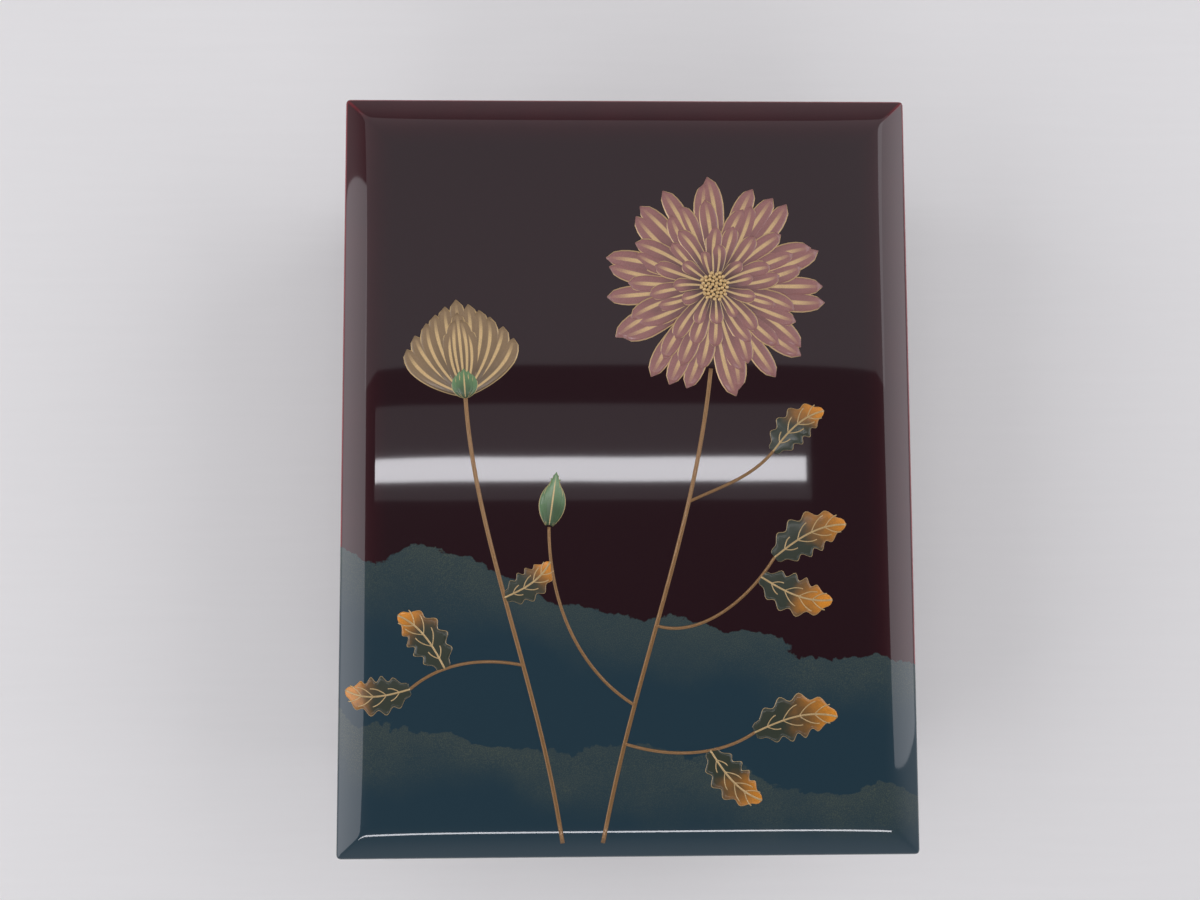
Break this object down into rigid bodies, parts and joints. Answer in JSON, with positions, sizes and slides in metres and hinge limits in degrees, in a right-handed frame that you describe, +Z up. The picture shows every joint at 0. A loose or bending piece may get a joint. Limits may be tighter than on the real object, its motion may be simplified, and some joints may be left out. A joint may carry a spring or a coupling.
{
  "type": "lacquer letter box",
  "caption": "Rectangular lacquered wooden letter box for A4 sheets, with a domed overhanging lid that lifts straight off.",
  "frame": {"origin": "middle of the base, on the surface that the box stands on", "axes": "+X across the lid's width, +Y along its length away from the user, +Z up"},
  "size_m": [0.264, 0.35, 0.125],
  "materials": {
    "lacquer": "polished dark maroon lacquer, red where it is thin",
    "inner_lacquer": "satin black lacquer",
    "key_wood": "bare hardwood, hidden under the lacquer"
  },
  "bodies": {
    "box": {"box_floor_board": "inner_lacquer", "box_front_wall": "lacquer", "box_back_wall": "lacquer", "box_left_wall": "lacquer", "box_right_wall": "lacquer", "box_key_front_left_1": "key_wood", "box_key_front_left_2": "key_wood", "box_key_front_left_3": "key_wood", "box_key_front_right_1": "key_wood", "box_key_front_right_2": "key_wood", "box_key_front_right_3": "key_wood", "box_key_back_right_1": "key_wood", "box_key_back_right_2": "key_wood", "box_key_back_right_3": "key_wood", "box_key_back_left_1": "key_wood", "box_key_back_left_2": "key_wood", "box_key_back_left_3": "key_wood"},
    "lid": {"lid_top_board": "lacquer", "lid_front_wall": "lacquer", "lid_back_wall": "lacquer", "lid_left_wall": "lacquer", "lid_right_wall": "lacquer", "lid_key_front_left_1": "key_wood", "lid_key_front_left_2": "key_wood", "lid_key_front_right_1": "key_wood", "lid_key_front_right_2": "key_wood", "lid_key_back_right_1": "key_wood", "lid_key_back_right_2": "key_wood", "lid_key_back_left_1": "key_wood", "lid_key_back_left_2": "key_wood"}
  },
  "joints": [
    {"name": "lid_lift", "type": "slide", "parent": "box", "child": "lid", "axis": [0, 0, 1], "range_m": [0, 0.12]}
  ]
}
